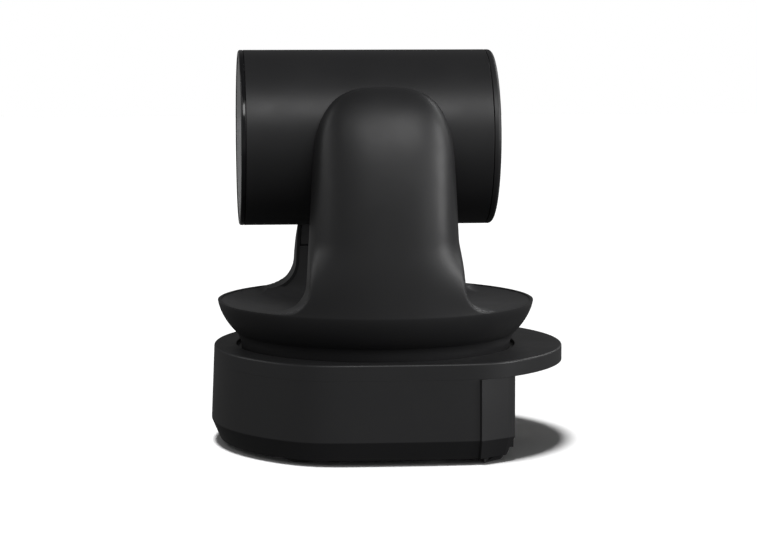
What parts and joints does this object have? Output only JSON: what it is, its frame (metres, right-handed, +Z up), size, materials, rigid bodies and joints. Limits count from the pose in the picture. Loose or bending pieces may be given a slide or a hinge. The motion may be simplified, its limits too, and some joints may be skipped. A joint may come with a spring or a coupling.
{
  "type": "ptz camera",
  "caption": "Desktop pan-tilt-zoom conference camera: a cylindrical head tilts between two arms on a saucer that pans on a connector base.",
  "frame": {"origin": "mouth of the tripod socket on the pan axis, at the level of the surface it stands on", "axes": "+Z up along the pan axis, the lens looks towards -Y at rest, the connector panel faces +Y, +X is the camera's left side seen from behind"},
  "size_m": [0.136, 0.1513, 0.1679],
  "materials": {
    "shell_black": "satin black moulded polycarbonate-ABS with a very fine texture",
    "cover_black": "matt black moulded plastic",
    "panel_black": "matt black moulded plastic",
    "bezel_gloss": "gloss black plastic",
    "front_glass": "smoked flat glass",
    "lens_glass": "coated optical glass",
    "lens_black": "matt black glass-filled plastic",
    "window_red": "smoked red infrared window",
    "steel_plate": "black powder-coated steel",
    "zinc_sheet": "zinc-plated sheet steel",
    "screw_steel": "plain bright steel",
    "motor_metal": "drawn steel can",
    "pulley_metal": "machined aluminium",
    "socket_metal": "nickel-plated connector shell",
    "socket_black": "moulded black nylon",
    "brass": "machined brass",
    "rubber": "black rubber",
    "belt_black": "black polyurethane belt",
    "circuit_board": "green solder mask",
    "terminal_green": "green moulded nylon",
    "dial_cream": "cream moulded nylon",
    "switch_red": "red moulded nylon",
    "slider_white": "white moulded nylon"
  },
  "bodies": {
    "base": {"base_wall": "shell_black", "base_top_cover": "shell_black", "bottom_plate": "steel_plate", "tripod_insert": "brass", "rubber_feet": "rubber", "base_screws": "screw_steel", "rear_panel": "panel_black", "main_board": "circuit_board", "io_board": "circuit_board", "dc_jack": "socket_black", "lan_port": "socket_metal", "usb_port": "socket_metal", "hdmi_port": "socket_metal", "sdi_connector": "socket_metal", "serial_ports": "socket_black", "rs485_terminal": "terminal_green", "audio_jack": "socket_black", "ir_window": "window_red", "dip_block": "switch_red", "pan_bearing": "screw_steel", "pan_motor": "motor_metal", "pan_motor_bracket": "zinc_sheet", "pan_belt": "belt_black", "pan_sensor": "socket_black"},
    "yoke": {"yoke_shell": "shell_black", "saucer_cover": "cover_black", "arm_cover_left": "cover_black", "arm_cover_right": "cover_black", "yoke_chassis": "zinc_sheet", "pan_hub": "pulley_metal", "pan_pulley": "pulley_metal", "drive_board": "circuit_board", "yoke_screws": "screw_steel", "tilt_motor": "motor_metal", "tilt_belt": "belt_black", "tilt_bearings": "screw_steel", "tilt_sensor": "socket_black"},
    "head": {"head_barrel": "shell_black", "head_rear_cap": "shell_black", "front_bezel": "bezel_gloss", "front_glass": "front_glass", "tilt_shaft_left": "pulley_metal", "tilt_shaft_right": "pulley_metal", "tilt_pulley": "pulley_metal", "head_chassis": "zinc_sheet", "lens_block": "lens_black", "lens_barrel": "lens_black", "front_lens": "lens_glass", "guide_rods": "screw_steel", "lens_drives": "motor_metal", "sensor_board": "circuit_board", "video_board": "circuit_board"},
    "address_dial": {"address_dial": "dial_cream"},
    "dip_slider_1": {"dip_slider_1": "slider_white"},
    "dip_slider_2": {"dip_slider_2": "slider_white"},
    "pan_motor_rotor": {"pan_motor_pulley": "pulley_metal"},
    "tilt_motor_rotor": {"tilt_motor_pulley": "pulley_metal"},
    "zoom_group": {"zoom_group": "lens_black"},
    "focus_group": {"focus_group": "lens_black"}
  },
  "joints": [
    {"name": "pan", "type": "hinge", "parent": "base", "child": "yoke", "pos_m": [0, 0, 0.045], "axis": [0, 0, 1], "range_deg": [-170, 170]},
    {"name": "tilt", "type": "hinge", "parent": "yoke", "child": "head", "pos_m": [0, 0, 0.1306], "axis": [-1, 0, 0], "range_deg": [-30, 90]},
    {"name": "pan_motor_spin", "type": "hinge", "parent": "base", "child": "pan_motor_rotor", "pos_m": [-0.03, -0.026, 0.028], "axis": [0, 0, 1], "range_deg": [-850, 850]},
    {"name": "tilt_motor_spin", "type": "hinge", "parent": "yoke", "child": "tilt_motor_rotor", "pos_m": [-0.048, 0, 0.09], "axis": [-1, 0, 0], "range_deg": [-90, 270]},
    {"name": "zoom_slide", "type": "slide", "parent": "head", "child": "zoom_group", "axis": [0, 1, 0], "range_m": [0, 0.016]},
    {"name": "focus_slide", "type": "slide", "parent": "head", "child": "focus_group", "axis": [0, 1, 0], "range_m": [-0.003, 0.006]},
    {"name": "address_dial_turn", "type": "hinge", "parent": "base", "child": "address_dial", "pos_m": [0.004, 0.05, 0.0288], "axis": [0, 1, 0], "continuous": true},
    {"name": "dip_slider_1_slide", "type": "slide", "parent": "base", "child": "dip_slider_1", "axis": [0, 1, 0], "range_m": [0, 0.002]},
    {"name": "dip_slider_2_slide", "type": "slide", "parent": "base", "child": "dip_slider_2", "axis": [0, 1, 0], "range_m": [0, 0.002]}
  ],
  "couplings": [
    {"joint": "pan_motor_spin", "follows": "pan", "ratio": 5},
    {"joint": "tilt_motor_spin", "follows": "tilt", "ratio": 3}
  ]
}
